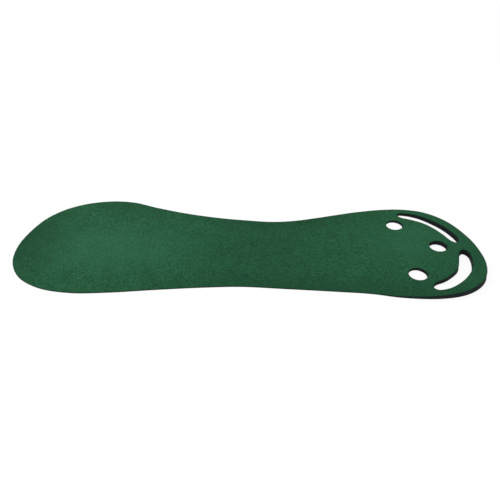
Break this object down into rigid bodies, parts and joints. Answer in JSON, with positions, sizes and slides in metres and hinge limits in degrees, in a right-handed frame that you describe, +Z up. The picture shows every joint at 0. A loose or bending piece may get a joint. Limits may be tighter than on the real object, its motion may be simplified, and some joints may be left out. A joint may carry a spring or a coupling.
{
  "type": "practice putting mat",
  "caption": "Long two-lobed indoor putting mat: green velour turf on thin black foam, with a foam ramp under the cup end, round cups and curved sand-trap cut-outs.",
  "frame": {"origin": "on the floor, at the middle of the mat's length and width", "axes": "+X from the tee end to the cup end, +Z up, +Y to the left when putting towards the cups"},
  "size_m": [2.7418, 0.914, 0.0398],
  "materials": {
    "turf": "matt short velour pile",
    "backing_foam": "matt closed-cell foam",
    "ramp_foam": "matt closed-cell foam, cut faces"
  },
  "bodies": {
    "root": {"putting_turf": "turf", "foam_backing": "backing_foam", "foam_ramp": "ramp_foam"}
  },
  "joints": []
}
